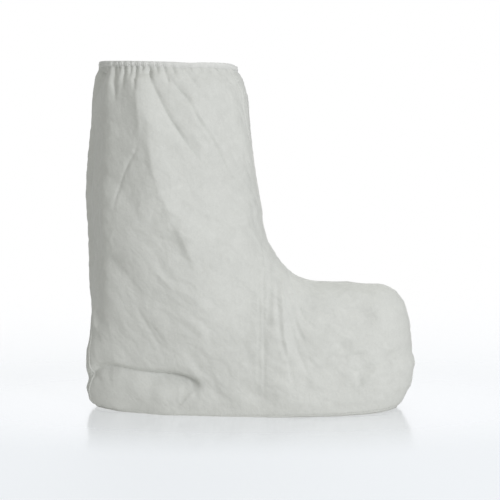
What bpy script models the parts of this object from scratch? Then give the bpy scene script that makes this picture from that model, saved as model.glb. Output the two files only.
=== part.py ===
"""Disposable boot cover: a thin nonwoven bag in the shape of a boot, standing on its own flat sole.

The upper is one hollow wall from the sole's edge to the collar. It is made of rings: each ring starts at
the heel line, runs round both sides of the foot and meets itself on the front line, which climbs from the
toe over the instep to the shin. Every other piece is worked out from the same rings, as one layer of faces
that a Solidify modifier gives its thickness.
Metres, +X to the toe, +Y to the wearer's left, +Z up, origin on the floor under the middle of the cover.
"""

import math
from collections import namedtuple

import bpy
import numpy as np

# Driving dimensions
HEIGHT = 0.457  # floor to the top of the collar hem
INSTEP_HEIGHT = 0.171  # floor to the top of the foot, in front of the shin
LENGTH = 0.430  # rearmost to foremost point of the foot
BALL_WIDTH = 0.138  # greatest breadth of the foot
SHEET = 0.0008  # wall of the upper, the hem and the seams
SOLE_SHEET = 0.0010  # thickness of the sole
GAP = 0.0003  # air between pieces that meet
PLEATS = 16  # gathers of the elastic round the collar
PLEAT_DEPTH = 0.0024  # crest to trough of a gather under the hem
SEAM_WIDTH = 0.0052  # the front and back seams
SOLE_SEAM = (0.30, 0.97)  # the sole seam's edges, as shares of the step up to the second ring

# Mesh density
TURNS = 64  # points round a ring, four to a gather
LONG_STEP = 0.038  # a longer step between two rings gets a row in its middle
END_STEP = 0.004  # a seam's end keeps this far from the next row

# One row for each ring, from the sole's edge up. back_in and reach are shares of LENGTH, from the rearmost
# point to the ring's two ends. back_up and front_up are the heights of those ends: 1 is the instep, 2 the
# wall's top. half_width is a share of half the ball width. sole_share is how far the ring keeps the sole's
# outline, flat the share of it that stays level before it climbs to the front, blunt squares its ends (1 is
# an ellipse), and pleat is its share of a gather's depth.
Ring = namedtuple("Ring", "name back_in back_up reach front_up half_width sole_share flat blunt pleat")
RINGS = (
    Ring("sole_edge", 0.020, 0.000, 0.958, 0.012, 0.957, 1.00, 0.78, 0.72, 0.0),
    Ring("edge_roll", 0.010, 0.021, 0.972, 0.050, 0.975, 1.00, 0.76, 0.72, 0.0),
    Ring("low_side", 0.001, 0.067, 0.987, 0.122, 0.990, 0.95, 0.72, 0.72, 0.0),
    Ring("heel_pad", 0.000, 0.142, 0.996, 0.228, 1.000, 0.85, 0.68, 0.72, 0.0),
    Ring("toe_front", 0.003, 0.238, 1.000, 0.348, 1.000, 0.70, 0.62, 0.72, 0.0),
    Ring("toe_face", 0.000, 0.327, 0.997, 0.498, 0.990, 0.52, 0.58, 0.72, 0.0),
    Ring("toe_brow", 0.001, 0.415, 0.991, 0.656, 0.980, 0.38, 0.55, 0.72, 0.0),
    Ring("toe_round", 0.004, 0.501, 0.973, 0.817, 0.965, 0.26, 0.52, 0.72, 0.0),
    Ring("toe_top", 0.006, 0.579, 0.940, 0.919, 0.960, 0.18, 0.50, 0.73, 0.0),
    Ring("foot_top", 0.008, 0.648, 0.880, 0.972, 0.960, 0.12, 0.45, 0.74, 0.0),
    Ring("mid_top", 0.009, 0.721, 0.790, 0.991, 0.970, 0.06, 0.30, 0.76, 0.0),
    Ring("instep", 0.009, 0.817, 0.703, 1.001, 0.990, 0.00, 0.20, 0.79, 0.0),
    Ring("instep_bend", 0.008, 0.938, 0.639, 1.027, 1.020, 0.00, 0.10, 0.82, 0.0),
    Ring("crook", 0.007, 1.059, 0.588, 1.092, 1.060, 0.00, 0.00, 0.86, 0.0),
    Ring("ankle", 0.006, 1.199, 0.556, 1.188, 1.095, 0.00, 0.00, 0.90, 0.0),
    Ring("low_shaft", 0.000, 1.389, 0.530, 1.370, 1.130, 0.00, 0.00, 0.93, 0.0),
    Ring("mid_shaft", 0.007, 1.561, 0.514, 1.534, 1.130, 0.00, 0.00, 0.95, 0.0),
    Ring("high_shaft", 0.020, 1.735, 0.500, 1.726, 1.100, 0.00, 0.00, 0.95, 0.1),
    Ring("shoulder", 0.025, 1.858, 0.493, 1.844, 1.050, 0.00, 0.00, 0.95, 0.4),
    Ring("gather", 0.035, 1.936, 0.477, 1.925, 0.985, 0.00, 0.00, 0.95, 1.0),
    Ring("neck", 0.045, 1.979, 0.463, 1.963, 0.950, 0.00, 0.00, 0.95, 0.6),
    Ring("collar", 0.046, 2.000, 0.460, 1.981, 0.940, 0.00, 0.00, 0.95, 0.3),
)

# The sole's outline from heel (turn 0) to toe (turn 180): its breadth as a share of its widest.
SoleStation = namedtuple("SoleStation", "turn breadth")
SOLE_OUTLINE = (
    SoleStation(0, 0.000),
    SoleStation(20, 0.300),
    SoleStation(40, 0.540),
    SoleStation(55, 0.640),
    SoleStation(72, 0.735),
    SoleStation(88, 0.865),
    SoleStation(107, 1.000),
    SoleStation(124, 0.925),
    SoleStation(137, 0.810),
    SoleStation(150, 0.640),
    SoleStation(165, 0.350),
    SoleStation(180, 0.000),
)

# The seams wander off the middle of the slack bag: sideways places by height up the wall.
SeamDrift = namedtuple("SeamDrift", "rise sideways")
FRONT_SEAM_DRIFT = (
    SeamDrift(0.00, 0.000),
    SeamDrift(0.45, 0.000),
    SeamDrift(0.72, -0.006),
    SeamDrift(0.90, -0.020),
    SeamDrift(1.00, -0.024),
)
BACK_SEAM_DRIFT = (
    SeamDrift(0.00, -0.006),
    SeamDrift(0.14, -0.016),
    SeamDrift(0.28, -0.014),
    SeamDrift(0.45, 0.000),
    SeamDrift(1.00, 0.000),
)

# Finishes: colour and roughness
Finish = namedtuple("Finish", "name colour roughness")
NONWOVEN = Finish("nonwoven_sheet", (0.76, 0.77, 0.75, 1.0), 0.62)
SOLE_FINISH = Finish("sole_sheet", (0.70, 0.71, 0.70, 1.0), 0.70)
HEM_FINISH = Finish("collar_hem", (0.80, 0.81, 0.80, 1.0), 0.72)
SEAM_FINISH = Finish("overlocked_seam", (0.80, 0.81, 0.80, 1.0), 0.75)

SOLE_EDGE = SOLE_SHEET + GAP  # where the wall starts
WALL_TOP = HEIGHT - GAP - SHEET  # where the wall ends, under the hem


def through(knots, values, at):
    """A smooth line through a table's values that never overshoots them."""
    knots, values, at = (np.asarray(row, float) for row in (knots, values, at))
    step = np.diff(knots)
    climb = np.diff(values) / step
    slope = np.concatenate([climb[:1], np.zeros(len(knots) - 2), climb[-1:]])
    same_way = climb[:-1] * climb[1:] > 0
    before, after = 2 * step[1:] + step[:-1], step[1:] + 2 * step[:-1]
    low_climb, high_climb = (np.where(same_way, row, 1.0) for row in (climb[:-1], climb[1:]))
    slope[1:-1] = np.where(same_way, (before + after) / (before / low_climb + after / high_climb), 0.0)
    i = np.clip(np.searchsorted(knots, at, side="right") - 1, 0, len(step) - 1)
    t = (at - knots[i]) / step[i]
    from_low = values[i] * (1 + 2 * t) * (1 - t) ** 2 + slope[i] * step[i] * t * (1 - t) ** 2
    from_high = values[i + 1] * t**2 * (3 - 2 * t) + slope[i + 1] * step[i] * t**2 * (t - 1)
    return from_low + from_high


def height_of(level):
    """Metres above the floor of a level of the ring table: 0 is the sole's edge, 1 the instep, 2 the top."""
    return np.interp(level, (0.0, 1.0, 2.0), (SOLE_EDGE, INSTEP_HEIGHT, WALL_TOP))


def ring_places():
    """How far up the wall each ring of the table lies, from 0 to 1, by the mean of its two middle lines."""
    back = np.array([(ring.back_in * LENGTH, height_of(ring.back_up)) for ring in RINGS])
    front = np.array([(ring.reach * LENGTH, height_of(ring.front_up)) for ring in RINGS])
    steps = sum(np.linalg.norm(np.diff(line, axis=0), axis=1) for line in (back, front))
    along = np.concatenate([[0.0], np.cumsum(steps)])
    return along / along[-1]


PLACES = ring_places()
HEM_FROM = PLACES[-2]  # the collar hem hangs down to the last ring but one


def column(name, rise):
    """One column of the ring table, at any height up the wall."""
    return through(PLACES, [getattr(ring, name) for ring in RINGS], np.clip(rise, 0.0, 1.0))


def wall(rise, turn):
    """The wall's outer face: rise is 0 at the sole and 1 at the collar, turn is 0 at the heel, pi at the toe."""
    rise, turn = np.broadcast_arrays(np.asarray(rise, float), np.asarray(turn, float))
    share = (1 - np.cos(turn)) / 2
    back, reach = column("back_in", rise) * LENGTH, column("reach", rise) * LENGTH
    back_up, front_up = height_of(column("back_up", rise)), height_of(column("front_up", rise))
    flat = column("flat", rise)
    climb = (np.clip(share - flat, 0.0, None) / (1 - flat)) ** 2
    turns, breadths = zip(*SOLE_OUTLINE)
    like_sole = through(turns, breadths, np.degrees(np.arccos(np.cos(turn))))
    like_ellipse = np.abs(np.sin(turn)) ** column("blunt", rise)
    sole_share = column("sole_share", rise)
    breadth = sole_share * like_sole + (1 - sole_share) * like_ellipse
    half = column("half_width", rise) * BALL_WIDTH / 2
    gather = column("pleat", rise) * PLEAT_DEPTH * (0.5 - 0.5 * np.cos(PLEATS * turn))
    x = back + (reach - back) * share - LENGTH / 2
    y = -np.sign(np.sin(turn)) * breadth * half
    z = back_up + (front_up - back_up) * climb
    inwards = np.stack([np.cos(turn), np.sin(turn), np.zeros_like(turn)], axis=-1)
    return np.stack([x, y, z], axis=-1) + inwards * gather[..., None]


def outward(rise, turn):
    """The wall's direction out, measured across a small step each way."""
    small = 0.004
    up = wall(np.minimum(rise + small, 1.0), turn) - wall(np.maximum(rise - small, 0.0), turn)
    ahead = wall(rise, turn + small) - wall(rise, turn - small)
    across = np.cross(ahead, up)
    return across / np.linalg.norm(across, axis=-1, keepdims=True)


def cut_rows():
    """The rows of the wall's mesh: every ring of the table, and one more in the middle of each long step."""
    middles = (PLACES[:-1] + PLACES[1:]) / 2
    return np.sort(np.concatenate([PLACES, middles[np.diff(PLACES) > LONG_STEP]]))


ROWS = cut_rows()
TURN_STEP = 2 * math.pi / TURNS
RING_TURNS = np.arange(TURNS) * TURN_STEP


def on_mesh(rise, turn, offset=0.0):
    """A point over the flat facets of the wall's mesh, so that a piece laid there keeps its gap all along."""
    rise, turn = np.broadcast_arrays(np.asarray(rise, float), np.asarray(turn, float))
    grid = wall(ROWS[:, None], RING_TURNS) + outward(ROWS[:, None], RING_TURNS) * offset
    i = np.clip(np.searchsorted(ROWS, rise, side="right") - 1, 0, len(ROWS) - 2)
    up = ((rise - ROWS[i]) / (ROWS[i + 1] - ROWS[i]))[..., None]
    j = np.floor(turn / TURN_STEP).astype(int)
    along = (turn / TURN_STEP - j)[..., None]
    j, k = j % TURNS, (j + 1) % TURNS
    low = grid[i, j] * (1 - along) + grid[i, k] * along
    high = grid[i + 1, j] * (1 - along) + grid[i + 1, k] * along
    return low * (1 - up) + high * up


def turn_at_side(rise, sideways, middle_turn):
    """The turn near a middle line (0 or pi) where the wall stands this far to one side, by halving."""
    inner, outer = np.zeros_like(rise), np.full_like(rise, math.pi / 2)
    towards = -np.sign(sideways) * math.cos(middle_turn)
    for _ in range(40):
        middle = (inner + outer) / 2
        reached = np.abs(on_mesh(rise, middle_turn + towards * middle)[..., 1]) > np.abs(sideways)
        inner, outer = np.where(reached, inner, middle), np.where(reached, middle, outer)
    return middle_turn + towards * (inner + outer) / 2


def grid_faces(rows, columns, closed):
    """Quads between the rows of a grid of points, numbered row by row; a closed grid joins its ends."""
    faces = []
    for low in range(0, (rows - 1) * columns, columns):
        for j in range(columns if closed else columns - 1):
            k = (j + 1) % columns
            faces.append((low + j, low + k, low + columns + k, low + columns + j))
    return faces


def material(finish):
    made = bpy.data.materials.new(finish.name)
    made.use_nodes = True
    shader = made.node_tree.nodes["Principled BSDF"]
    shader.inputs["Base Color"].default_value = finish.colour
    shader.inputs["Roughness"].default_value = finish.roughness
    return made


def cut_piece(name, points, faces, finish, thickness, side):
    """A piece of sheet: one layer of faces, thickened to its outer side (1) or its inner side (-1)."""
    mesh = bpy.data.meshes.new(name)
    mesh.from_pydata([tuple(point) for point in np.reshape(points, (-1, 3))], [], faces)
    mesh.materials.append(material(finish))
    mesh.shade_smooth()
    piece = bpy.data.objects.new(name, mesh)
    bpy.context.scene.collection.objects.link(piece)
    solid = piece.modifiers.new("thickness", "SOLIDIFY")
    solid.thickness = thickness
    solid.offset = side
    solid.use_even_offset = True
    return piece


def make_upper():
    """Both side panels as sewn: one thin wall, open at the collar and over the sole."""
    points = wall(ROWS[:, None], RING_TURNS)
    return cut_piece("upper", points, grid_faces(len(ROWS), TURNS, True), NONWOVEN, SHEET, -1)


def make_sole():
    """A flat sheet with the outline of the wall's lower edge, turned up a little at the toe."""
    last = TURNS // 2
    right = wall(np.zeros(last + 1), RING_TURNS[: last + 1])
    right[:, 2] -= SOLE_EDGE
    left = right[1:last] * (1, -1, 1)
    faces = []
    for j in range(last):
        near, far = (k if k in (0, last) else last + k for k in (j, j + 1))
        faces.append(tuple(dict.fromkeys((j, near, far, j + 1))))
    return cut_piece("sole", np.concatenate([right, left]), faces, SOLE_FINISH, SOLE_SHEET, -1)


def make_hem():
    """The collar's edge, folded over its elastic: a channel that hangs over the wall's top."""
    inside = -SHEET - GAP
    Fold = namedtuple("Fold", "rise out above")  # where on the wall, how far out of it, how far above it
    folds = (
        Fold(HEM_FROM, GAP, 0.0),
        Fold(1.0, GAP, GAP / 2),
        Fold(1.0, -SHEET / 2, GAP),
        Fold(1.0, inside, GAP / 2),
        Fold(HEM_FROM, inside, 0.0),
    )
    loops = [on_mesh(fold.rise, RING_TURNS, fold.out) + (0, 0, fold.above) for fold in folds]
    return cut_piece("collar_hem", loops, grid_faces(len(folds), TURNS, True), HEM_FINISH, SHEET, 1)


def make_long_seam(name, drift, middle_turn):
    """The seam that joins the two side panels, down the front or the back of the cover."""
    ends = [PLACES[1] + END_STEP, HEM_FROM - END_STEP]
    between = (ROWS > ends[0] + END_STEP) & (ROWS < ends[1] - END_STEP)
    rise = np.concatenate([ends[:1], ROWS[between], ends[1:]])
    middle = through([row.rise for row in drift], [row.sideways for row in drift], rise)
    edges = [turn_at_side(rise, middle + across * SEAM_WIDTH, middle_turn) for across in (-0.5, 0.0, 0.5)]
    turn = np.sort(np.stack(edges, axis=1), axis=1)
    faces = grid_faces(*turn.shape, False)
    return cut_piece(name, on_mesh(rise[:, None], turn, GAP), faces, SEAM_FINISH, SHEET, 1)


def make_sole_seam():
    """The seam that joins the upper to the sole, a low band round the foot of the wall."""
    rise = np.array(SOLE_SEAM)[:, None] * PLACES[1]
    faces = grid_faces(len(SOLE_SEAM), TURNS, True)
    return cut_piece("sole_seam", on_mesh(rise, RING_TURNS, GAP), faces, SEAM_FINISH, SHEET, 1)


def main():
    for old in list(bpy.data.objects):
        bpy.data.objects.remove(old)
    cover = bpy.data.objects.new("boot_cover", None)
    bpy.context.scene.collection.objects.link(cover)
    pieces = (
        make_upper(),
        make_sole(),
        make_hem(),
        make_long_seam("front_seam", FRONT_SEAM_DRIFT, math.pi),
        make_long_seam("back_seam", BACK_SEAM_DRIFT, 0.0),
        make_sole_seam(),
    )
    for piece in pieces:
        piece.parent = cover


main()
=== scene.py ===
# %% [markdown]
# A disposable boot cover
# The real thing is a bag of papery nonwoven sheet, cut as two side panels and a flat sole, overlocked
# together, with an elastic in its top hem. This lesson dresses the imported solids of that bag: it gives the
# sheet its creases, gathers and fibres, the seams their stitches, and sets the light and the camera.

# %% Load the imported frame
import math
from collections import namedtuple

import bpy
import numpy as np
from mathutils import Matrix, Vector


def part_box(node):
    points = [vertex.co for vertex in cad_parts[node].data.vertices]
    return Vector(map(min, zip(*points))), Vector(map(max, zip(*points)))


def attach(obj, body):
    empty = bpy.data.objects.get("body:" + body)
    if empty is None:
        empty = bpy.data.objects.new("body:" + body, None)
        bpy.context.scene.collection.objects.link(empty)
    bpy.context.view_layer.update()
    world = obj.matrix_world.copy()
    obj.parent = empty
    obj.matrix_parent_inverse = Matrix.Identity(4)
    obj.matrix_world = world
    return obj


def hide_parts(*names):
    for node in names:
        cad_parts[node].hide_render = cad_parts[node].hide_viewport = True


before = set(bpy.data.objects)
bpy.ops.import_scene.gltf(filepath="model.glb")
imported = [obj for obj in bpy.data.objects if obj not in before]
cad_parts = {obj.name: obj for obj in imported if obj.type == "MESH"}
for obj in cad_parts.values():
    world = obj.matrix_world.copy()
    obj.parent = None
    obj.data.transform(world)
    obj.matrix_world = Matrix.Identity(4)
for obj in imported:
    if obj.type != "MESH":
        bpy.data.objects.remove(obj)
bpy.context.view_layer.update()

# %% [markdown]
# The sizes
# Everything is in metres, in the frame of the solids: +X to the toe, +Z up, the floor at zero. The overall
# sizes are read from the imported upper, so the dressing always fits it. Only what can't be read from a box,
# such as the height of the instep, is named here.

# %% Named sizes
upper_low, upper_high = (np.array(corner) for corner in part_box("upper"))
LENGTH = upper_high[0] - upper_low[0]
HEEL = upper_low[0]
SOLE_EDGE = upper_low[2]
WALL_TOP = upper_high[2]
INSTEP_HEIGHT = 0.171
BALL_WIDTH = 0.138
SHEET = 0.0008
SEAM_WIDTH = 0.0052
print(f"length {LENGTH:.3f}, wall {SOLE_EDGE:.4f} to {WALL_TOP:.4f}")

# %% [markdown]
# The form of the bag
# The bag is a stack of rings. Each ring starts on the heel line, runs round both sides and closes on the
# front line, which climbs from the toe over the instep to the shin. One table row describes one ring, and a
# smooth line through each column gives every ring between. It is the same table as the solid's, so the
# dressed bag keeps the solid's form.

# %% The rings
Ring = namedtuple("Ring", "name back_in back_up reach front_up half_width sole_share flat blunt")
RINGS = (
    Ring("sole_edge", 0.020, 0.000, 0.958, 0.012, 0.957, 1.00, 0.78, 0.72),
    Ring("edge_roll", 0.010, 0.021, 0.972, 0.050, 0.975, 1.00, 0.76, 0.72),
    Ring("low_side", 0.001, 0.067, 0.987, 0.122, 0.990, 0.95, 0.72, 0.72),
    Ring("heel_pad", 0.000, 0.142, 0.996, 0.228, 1.000, 0.85, 0.68, 0.72),
    Ring("toe_front", 0.003, 0.238, 1.000, 0.348, 1.000, 0.70, 0.62, 0.72),
    Ring("toe_face", 0.000, 0.327, 0.997, 0.498, 0.990, 0.52, 0.58, 0.72),
    Ring("toe_brow", 0.001, 0.415, 0.991, 0.656, 0.980, 0.38, 0.55, 0.72),
    Ring("toe_round", 0.004, 0.501, 0.973, 0.817, 0.965, 0.26, 0.52, 0.72),
    Ring("toe_top", 0.006, 0.579, 0.940, 0.919, 0.960, 0.18, 0.50, 0.73),
    Ring("foot_top", 0.008, 0.648, 0.880, 0.972, 0.960, 0.12, 0.45, 0.74),
    Ring("mid_top", 0.009, 0.721, 0.790, 0.991, 0.970, 0.06, 0.30, 0.76),
    Ring("instep", 0.009, 0.817, 0.703, 1.001, 0.990, 0.00, 0.20, 0.79),
    Ring("instep_bend", 0.008, 0.938, 0.639, 1.027, 1.020, 0.00, 0.10, 0.82),
    Ring("crook", 0.007, 1.059, 0.588, 1.092, 1.060, 0.00, 0.00, 0.86),
    Ring("ankle", 0.006, 1.199, 0.556, 1.188, 1.095, 0.00, 0.00, 0.90),
    Ring("low_shaft", 0.000, 1.389, 0.530, 1.370, 1.130, 0.00, 0.00, 0.93),
    Ring("mid_shaft", 0.007, 1.561, 0.514, 1.534, 1.130, 0.00, 0.00, 0.95),
    Ring("high_shaft", 0.020, 1.735, 0.500, 1.726, 1.100, 0.00, 0.00, 0.95),
    Ring("shoulder", 0.025, 1.858, 0.493, 1.844, 1.050, 0.00, 0.00, 0.95),
    Ring("gather", 0.035, 1.936, 0.477, 1.925, 0.985, 0.00, 0.00, 0.95),
    Ring("neck", 0.045, 1.979, 0.463, 1.963, 0.950, 0.00, 0.00, 0.95),
    Ring("collar", 0.046, 2.000, 0.460, 1.981, 0.940, 0.00, 0.00, 0.95),
)
SoleStation = namedtuple("SoleStation", "turn breadth")
SOLE_OUTLINE = (
    SoleStation(0, 0.000),
    SoleStation(20, 0.300),
    SoleStation(40, 0.540),
    SoleStation(55, 0.640),
    SoleStation(72, 0.735),
    SoleStation(88, 0.865),
    SoleStation(107, 1.000),
    SoleStation(124, 0.925),
    SoleStation(137, 0.810),
    SoleStation(150, 0.640),
    SoleStation(165, 0.350),
    SoleStation(180, 0.000),
)
print(len(RINGS), "rings,", len(SOLE_OUTLINE), "stations round the sole")


# %% A smooth line through a table
def through(knots, values, at):
    """A smooth line through a table's values that never overshoots them."""
    knots, values, at = (np.asarray(row, float) for row in (knots, values, at))
    step = np.diff(knots)
    climb = np.diff(values) / step
    slope = np.concatenate([climb[:1], np.zeros(len(knots) - 2), climb[-1:]])
    same_way = climb[:-1] * climb[1:] > 0
    before, after = 2 * step[1:] + step[:-1], step[1:] + 2 * step[:-1]
    low_climb, high_climb = (np.where(same_way, row, 1.0) for row in (climb[:-1], climb[1:]))
    slope[1:-1] = np.where(same_way, (before + after) / (before / low_climb + after / high_climb), 0.0)
    i = np.clip(np.searchsorted(knots, at, side="right") - 1, 0, len(step) - 1)
    t = (at - knots[i]) / step[i]
    from_low = values[i] * (1 + 2 * t) * (1 - t) ** 2 + slope[i] * step[i] * t * (1 - t) ** 2
    from_high = values[i + 1] * t**2 * (3 - 2 * t) + slope[i + 1] * step[i] * t**2 * (t - 1)
    return from_low + from_high


def height_of(level):
    """Height of a level of the ring table: 0 is the sole's edge, 1 the instep, 2 the top."""
    return np.interp(level, (0.0, 1.0, 2.0), (SOLE_EDGE, INSTEP_HEIGHT, WALL_TOP))


def ring_places():
    back = np.array([(ring.back_in * LENGTH, height_of(ring.back_up)) for ring in RINGS])
    front = np.array([(ring.reach * LENGTH, height_of(ring.front_up)) for ring in RINGS])
    steps = sum(np.linalg.norm(np.diff(line, axis=0), axis=1) for line in (back, front))
    along = np.concatenate([[0.0], np.cumsum(steps)])
    return along / along[-1]


PLACES = ring_places()
HEM_FROM = PLACES[-2]
print("rings lie at", np.round(PLACES, 3))


# %% The plain wall
def column(name, rise):
    return through(PLACES, [getattr(ring, name) for ring in RINGS], np.clip(rise, 0.0, 1.0))


def wall(rise, turn):
    """The uncreased bag: rise is 0 at the sole and 1 at the collar, turn is 0 at the heel, pi at the toe."""
    rise, turn = np.broadcast_arrays(np.asarray(rise, float), np.asarray(turn, float))
    share = (1 - np.cos(turn)) / 2
    back, reach = column("back_in", rise) * LENGTH, column("reach", rise) * LENGTH
    back_up, front_up = height_of(column("back_up", rise)), height_of(column("front_up", rise))
    flat = column("flat", rise)
    climb = (np.clip(share - flat, 0.0, None) / (1 - flat)) ** 2
    turns, breadths = zip(*SOLE_OUTLINE)
    like_sole = through(turns, breadths, np.degrees(np.arccos(np.cos(turn))))
    like_ellipse = np.abs(np.sin(turn)) ** column("blunt", rise)
    sole_share = column("sole_share", rise)
    breadth = sole_share * like_sole + (1 - sole_share) * like_ellipse
    half = column("half_width", rise) * BALL_WIDTH / 2
    x = back + (reach - back) * share + HEEL
    y = -np.sign(np.sin(turn)) * breadth * half
    z = back_up + (front_up - back_up) * climb
    return np.stack([x, y, z], axis=-1)


def outward(rise, turn):
    """The wall's direction out, measured across a small step each way."""
    small = 0.004
    up = wall(np.minimum(rise + small, 1.0), turn) - wall(np.maximum(rise - small, 0.0), turn)
    ahead = wall(rise, turn + small) - wall(rise, turn - small)
    across = np.cross(ahead, up)
    return across / np.linalg.norm(across, axis=-1, keepdims=True)


print("front of the collar at", np.round(wall(1.0, math.pi), 3))

# %% [markdown]
# The creases
# A crease is a line that someone could draw on the side of the bag with a pencil, so each one is a row here:
# its route in the side view, how deep it goes (a ridge stands out), and how far the sheet takes to come back
# on the left and the right of the route. A lip is the soft bulge that a fold pushes up on its right side.
# Sculpting or a cloth simulation could give folds too, but they wouldn't fall where the real ones do.

# %% The crease tables
NEAR, FAR, BOTH = -1, 1, 0
Crease = namedtuple("Crease", "name side depth left right lip soft fade_in fade_out route")
SHAFT_CREASES = (
    Crease("back_plane", NEAR, -0.0085, 0.008, 0.050, 0.0, 0.004, 0.25, 0.40,
           ((-0.202, 0.420), (-0.202, 0.360), (-0.203, 0.290), (-0.202, 0.220), (-0.200, 0.150),
            (-0.198, 0.085))),
    Crease("front_hollow", NEAR, -0.0016, 0.008, 0.022, 0.0, 0.002, 0.35, 0.35,
           ((-0.046, 0.340), (-0.034, 0.312), (-0.022, 0.278))),
    Crease("side_ridge", NEAR, 0.0096, 0.030, 0.026, 0.0, 0.0012, 0.05, 0.30,
           ((-0.139, 0.446), (-0.134, 0.415), (-0.127, 0.377), (-0.123, 0.334), (-0.115, 0.301),
            (-0.101, 0.269), (-0.080, 0.236), (-0.073, 0.211), (-0.068, 0.187))),
    Crease("ridge_edge_mid", NEAR, 0.0018, 0.014, 0.005, 0.0, 0.0005, 0.35, 0.35,
           ((-0.128, 0.390), (-0.123, 0.334), (-0.115, 0.301), (-0.101, 0.269), (-0.089, 0.250))),
    Crease("low_ridge", NEAR, 0.0070, 0.050, 0.060, 0.0, 0.012, 0.30, 0.35,
           ((-0.090, 0.255), (-0.079, 0.200), (-0.076, 0.150), (-0.068, 0.101), (-0.056, 0.064))),
    Crease("low_flank", NEAR, 0.0036, 0.030, 0.090, 0.0, 0.004, 0.15, 0.55,
           ((-0.136, 0.335), (-0.122, 0.270), (-0.118, 0.200), (-0.112, 0.130), (-0.104, 0.064))),
    Crease("ridge_edge_top", NEAR, 0.0011, 0.004, 0.004, 0.0, 0.0006, 0.3, 0.3,
           ((-0.142, 0.430), (-0.139, 0.396), (-0.138, 0.374), (-0.139, 0.356))),
    Crease("ridge_edge_low", NEAR, 0.0030, 0.016, 0.006, 0.0, 0.0006, 0.35, 0.35,
           ((-0.098, 0.262), (-0.088, 0.241), (-0.082, 0.226), (-0.074, 0.209), (-0.064, 0.192))),
    Crease("thin_back", NEAR, -0.0009, 0.0018, 0.0022, 0.0, 0.0004, 0.2, 0.3,
           ((-0.139, 0.362), (-0.143, 0.346), (-0.154, 0.327), (-0.165, 0.299), (-0.176, 0.253))),
    Crease("long_fold_a", NEAR, -0.0032, 0.005, 0.024, 0.0, 0.0008, 0.04, 0.35,
           ((-0.130, 0.448), (-0.122, 0.428), (-0.109, 0.400), (-0.088, 0.365), (-0.069, 0.340),
            (-0.046, 0.315))),
    Crease("fold_a_line", NEAR, -0.0013, 0.0020, 0.0024, 0.0, 0.0004, 0.05, 0.3,
           ((-0.130, 0.448), (-0.122, 0.428), (-0.109, 0.400), (-0.088, 0.365), (-0.069, 0.340),
            (-0.048, 0.317))),
    Crease("long_fold_b", NEAR, 0.0014, 0.016, 0.005, 0.0, 0.0008, 0.10, 0.40,
           ((-0.107, 0.446), (-0.093, 0.424), (-0.082, 0.413), (-0.067, 0.386), (-0.051, 0.362),
            (-0.038, 0.337), (-0.029, 0.317), (-0.013, 0.298), (0.006, 0.279))),
    Crease("fold_b_line", NEAR, -0.0017, 0.0022, 0.0026, 0.0, 0.0004, 0.10, 0.45,
           ((-0.105, 0.444), (-0.091, 0.422), (-0.080, 0.411), (-0.065, 0.384), (-0.049, 0.360),
            (-0.036, 0.335), (-0.027, 0.315), (-0.011, 0.296), (0.006, 0.278))),
    Crease("fold_b_pocket", NEAR, -0.0034, 0.007, 0.004, 0.0, 0.001, 0.4, 0.4,
           ((-0.098, 0.434), (-0.087, 0.418), (-0.074, 0.400))),
    Crease("front_fold_a", NEAR, -0.0018, 0.003, 0.004, 0.0007, 0.0006, 0.05, 0.6,
           ((-0.086, 0.450), (-0.069, 0.428), (-0.058, 0.414))),
    Crease("front_fold_b", NEAR, -0.0018, 0.003, 0.004, 0.0008, 0.0006, 0.05, 0.6,
           ((-0.058, 0.451), (-0.038, 0.436), (-0.018, 0.418))),
    Crease("front_fold_c", NEAR, -0.0016, 0.003, 0.003, 0.0008, 0.0006, 0.05, 0.6,
           ((-0.045, 0.451), (-0.026, 0.434), (-0.011, 0.412))),
    Crease("back_fold_a", NEAR, -0.0024, 0.011, 0.012, 0.0010, 0.002, 0.3, 0.35,
           ((-0.205, 0.326), (-0.181, 0.312), (-0.165, 0.299), (-0.150, 0.278), (-0.136, 0.254))),
    Crease("back_fold_b", NEAR, -0.0046, 0.012, 0.020, 0.0, 0.0012, 0.3, 0.35,
           ((-0.199, 0.223), (-0.182, 0.207), (-0.169, 0.194), (-0.144, 0.166), (-0.126, 0.140))),
    Crease("back_wedge", NEAR, -0.0076, 0.006, 0.016, 0.0, 0.001, 0.05, 0.5,
           ((-0.193, 0.448), (-0.198, 0.425), (-0.201, 0.390))),
    Crease("lower_fold_a", NEAR, -0.0013, 0.004, 0.004, 0.0004, 0.0006, 0.3, 0.3,
           ((-0.152, 0.154), (-0.141, 0.137), (-0.123, 0.106), (-0.106, 0.076))),
    Crease("lower_fold_b", NEAR, -0.0008, 0.003, 0.003, 0.0003, 0.0006, 0.4, 0.4,
           ((-0.132, 0.136), (-0.119, 0.112), (-0.106, 0.090))),
    Crease("packing_fold", NEAR, 0.0004, 0.002, 0.002, 0.0, 0.0004, 0.1, 0.1,
           ((-0.210, 0.247), (-0.100, 0.246), (0.012, 0.247))),
)
print(len(SHAFT_CREASES), "creases on the near side of the shaft")

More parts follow.
